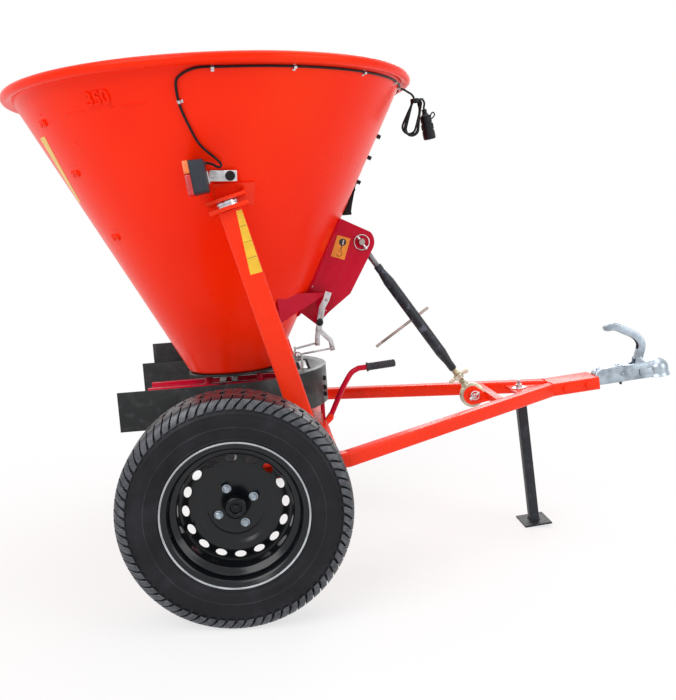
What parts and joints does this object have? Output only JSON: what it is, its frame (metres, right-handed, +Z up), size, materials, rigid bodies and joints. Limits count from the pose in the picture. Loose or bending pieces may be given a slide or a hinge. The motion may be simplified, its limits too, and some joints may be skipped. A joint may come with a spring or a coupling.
{
  "type": "atv salt spreader",
  "caption": "Towed salt spreader: conical hopper on a two-wheeled A-frame drawbar with ball coupling, wheel-driven spinning disc, guard, support stand, top link and rear lamps.",
  "frame": {"origin": "on the ground under the middle of the overall box", "axes": "+X forward, to the ball coupling; +Y to the left; +Z up"},
  "size_m": [2.07, 1.454, 1.422],
  "materials": {
    "red_steel": "glossy orange-red paint",
    "hopper_plastic": "glossy orange-red moulded plastic",
    "zinc": "bright zinc plate",
    "yellow_zinc": "yellow passivated zinc plate",
    "tyre_rubber": "matt black rubber",
    "black_rim": "gloss black paint",
    "cast_iron": "dull dark grey",
    "bright_steel": "plain grey steel",
    "stainless": "stainless sheet",
    "black_plastic": "satin black plastic",
    "black_paint": "satin black paint",
    "grey_paint": "dark grey paint",
    "lamp_lens": "orange and red lamp lens"
  },
  "bodies": {
    "chassis": {"axle_bearing_left": "cast_iron", "axle_bearing_right": "cast_iron", "side_rail_left": "red_steel", "side_rail_right": "red_steel", "drawbar_beam_left": "red_steel", "drawbar_beam_right": "red_steel", "drawbar_nose": "red_steel", "drawbar_cross_tube": "red_steel", "frame_front_tube": "red_steel", "lower_link_lug": "red_steel", "coupling_body": "zinc", "stand_leg": "grey_paint", "stand_plate": "red_steel", "stand_bolt": "zinc", "gearbox_housing": "cast_iron", "hopper": "hopper_plastic", "hopper_base_plate": "red_steel", "hopper_bracket_left": "red_steel", "hopper_bracket_right": "red_steel", "post_left": "red_steel", "post_right": "red_steel", "top_link_bracket": "red_steel", "top_link_pin": "zinc", "top_link_upper_screw": "zinc", "top_link_lower_screw": "yellow_zinc", "lower_link_pin": "zinc", "spread_guard": "black_paint", "rear_deflector": "black_paint", "spreader_frame": "red_steel", "lamp_housing_left": "black_plastic", "lamp_housing_right": "black_plastic", "lamp_lens_left": "lamp_lens", "lamp_lens_right": "lamp_lens", "lamp_bracket_left": "zinc", "lamp_bracket_right": "zinc", "wiring_cable_left": "black_plastic", "wiring_cable_right": "black_plastic", "cable_hank": "black_plastic", "plug": "black_plastic"},
    "wheel_left": {"tyre_left": "tyre_rubber", "rim_left": "black_rim", "hub_left": "cast_iron", "axle_shaft": "bright_steel", "crown_gear": "bright_steel"},
    "wheel_right": {"tyre_right": "tyre_rubber", "rim_right": "black_rim", "hub_right": "cast_iron"},
    "spinner": {"spinner_disc": "stainless", "spinner_shaft": "bright_steel", "agitator": "stainless"},
    "dosing_lever": {"dosing_lever": "zinc"},
    "shutter_right": {"shutter_right": "stainless"},
    "shutter_left": {"shutter_left": "stainless"},
    "engage_lever": {"engage_lever": "red_steel", "engage_grip": "black_plastic"},
    "coupling_lever": {"coupling_lever": "zinc"},
    "coupling_latch": {"coupling_latch": "zinc"},
    "turnbuckle": {"turnbuckle_body": "black_paint", "tommy_bar": "bright_steel"},
    "wing_nut": {"wing_nut": "yellow_zinc"}
  },
  "joints": [
    {"name": "wheel_left_turn", "type": "hinge", "parent": "chassis", "child": "wheel_left", "pos_m": [-0.37318, 0, 0.29], "axis": [0, 1, 0], "continuous": true},
    {"name": "wheel_right_turn", "type": "hinge", "parent": "chassis", "child": "wheel_right", "pos_m": [-0.37318, 0, 0.29], "axis": [0, 1, 0], "continuous": true},
    {"name": "spinner_turn", "type": "hinge", "parent": "chassis", "child": "spinner", "pos_m": [-0.37318, 0, 0.29], "axis": [-0.0558, 0, 0.9984], "continuous": true},
    {"name": "dosing_lever_swing", "type": "hinge", "parent": "chassis", "child": "dosing_lever", "pos_m": [-0.12016, -0.08, 0.68905], "axis": [0, 1, 0], "range_deg": [0, 25]},
    {"name": "shutter_right_slide", "type": "slide", "parent": "chassis", "child": "shutter_right", "axis": [-0.9984, 0, -0.0558], "range_m": [0, 0.0285]},
    {"name": "shutter_left_slide", "type": "slide", "parent": "chassis", "child": "shutter_left", "axis": [-0.9984, 0, -0.0558], "range_m": [0, 0.0365]},
    {"name": "engage_lever_swing", "type": "hinge", "parent": "chassis", "child": "engage_lever", "pos_m": [-0.08778, -0.05, 0.38855], "axis": [0, 1, 0], "range_deg": [0, 30]},
    {"name": "coupling_lever_lift", "type": "hinge", "parent": "chassis", "child": "coupling_lever", "pos_m": [0.92477, 0, 0.53964], "axis": [0, 1, 0], "range_deg": [0, 50]},
    {"name": "coupling_latch_lift", "type": "slide", "parent": "chassis", "child": "coupling_latch", "axis": [-0.1253, 0, 0.9921], "range_m": [0, 0.0062]},
    {"name": "turnbuckle_turn", "type": "hinge", "parent": "chassis", "child": "turnbuckle", "pos_m": [0.18973, 0, 0.69046], "axis": [0.5903, 0, -0.8072], "continuous": true},
    {"name": "wing_nut_turn", "type": "hinge", "parent": "chassis", "child": "wing_nut", "pos_m": [0.3314, 0, 0.49674], "axis": [0.5903, 0, -0.8072], "continuous": true}
  ],
  "couplings": [
    {"joint": "spinner_turn", "follows": "wheel_left_turn", "ratio": -4},
    {"joint": "shutter_right_slide", "follows": "dosing_lever_swing", "m_per_rad": 0.0635},
    {"joint": "shutter_left_slide", "follows": "dosing_lever_swing", "m_per_rad": 0.0821},
    {"joint": "coupling_latch_lift", "follows": "coupling_lever_lift", "m_per_rad": 0.0069}
  ]
}
